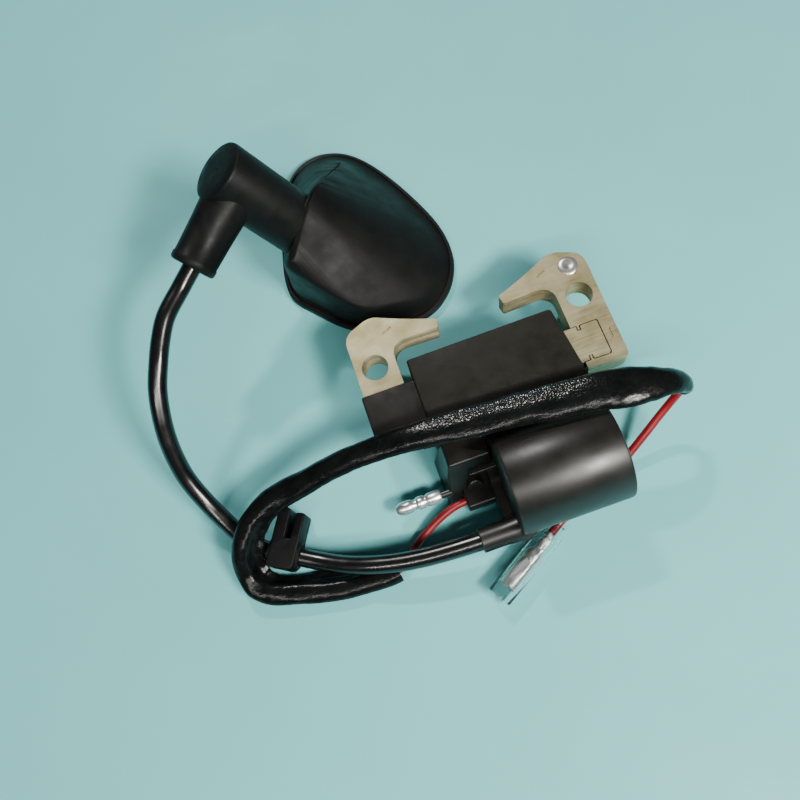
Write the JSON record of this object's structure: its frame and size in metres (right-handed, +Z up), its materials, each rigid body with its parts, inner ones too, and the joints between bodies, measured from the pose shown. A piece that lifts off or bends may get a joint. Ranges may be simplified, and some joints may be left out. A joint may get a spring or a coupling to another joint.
{
  "type": "engine ignition coil",
  "caption": "Two-legged laminated ignition coil with potted module, high-tension lead, rubber plug cap and trigger leads.",
  "frame": {"origin": "under the middle of the coil itself (core and module, leads and cap left out), on the surface it lies on", "axes": "+X from the left bolt hole to the right one, +Y towards the flywheel side of the core, +Z up through the lamination stack"},
  "size_m": [0.1408, 0.1566, 0.0544],
  "materials": {
    "core_steel": "satin, warm oxide tint, laminations visible at the edges",
    "rivet_steel": "bright",
    "bobbin_nylon": "natural nylon",
    "magnet_wire": "enamelled copper wire",
    "case_plastic": "filled black plastic, semi-matte",
    "potting_resin": "cast resin",
    "board": "solder mask",
    "capacitor_dip": "dipped",
    "component_black": "moulded",
    "resistor_body": "lacquered",
    "ferrite": "sintered",
    "tinned_brass": "tin plated",
    "lead_jacket": "glossy extruded jacket",
    "red_insulation": "glossy wire insulation",
    "sleeve_vinyl": "thin glossy vinyl, creased",
    "grommet_rubber": "matte",
    "clear_vinyl": "clear soft vinyl",
    "black_insulation": "wire insulation",
    "cap_rubber": "satin black rubber",
    "ceramic_body": "ceramic",
    "spring_steel": "drawn wire",
    "hood_rubber": "matte moulded rubber"
  },
  "bodies": {
    "coil": {"core_stack": "core_steel", "core_leg_right": "core_steel", "core_rivet": "rivet_steel", "exciter_bobbin": "bobbin_nylon", "exciter_winding": "magnet_wire", "exciter_case": "case_plastic", "exciter_resin": "potting_resin", "module_case": "case_plastic", "module_resin": "potting_resin", "hv_end_cap": "potting_resin", "circuit_board": "board", "storage_capacitor": "capacitor_dip", "thyristor": "component_black", "charging_diode": "component_black", "trigger_resistor": "resistor_body", "ferrite_core": "ferrite", "primary_bobbin": "bobbin_nylon", "primary_winding": "magnet_wire", "secondary_bobbin": "bobbin_nylon", "secondary_winding_1": "magnet_wire", "secondary_winding_2": "magnet_wire", "secondary_winding_3": "magnet_wire", "ht_terminal": "tinned_brass", "ht_lead": "lead_jacket", "red_lead": "red_insulation", "harness_sleeve": "sleeve_vinyl", "female_bullet": "tinned_brass", "male_bullet": "tinned_brass", "black_lead": "black_insulation", "plug_cap_body": "cap_rubber", "plug_clip": "tinned_brass", "cap_resistor": "ceramic_body", "cap_spring": "spring_steel", "lead_screw": "tinned_brass"},
    "hood": {"cap_hood": "hood_rubber"},
    "connector_cover": {"bullet_cover": "clear_vinyl"},
    "cowl_grommet": {"lead_grommet": "grommet_rubber"}
  },
  "joints": [
    {"name": "hood_slide", "type": "slide", "parent": "coil", "child": "hood", "axis": [-0.4818, 0.2838, 0.829], "range_m": [0, 0.004]},
    {"name": "cover_slide", "type": "slide", "parent": "coil", "child": "connector_cover", "axis": [-0.866, -0.5, 0], "range_m": [0, 0.008]},
    {"name": "grommet_slide", "type": "slide", "parent": "coil", "child": "cowl_grommet", "axis": [0.8631, -0.5051, 0], "range_m": [0, 0.004]}
  ]
}
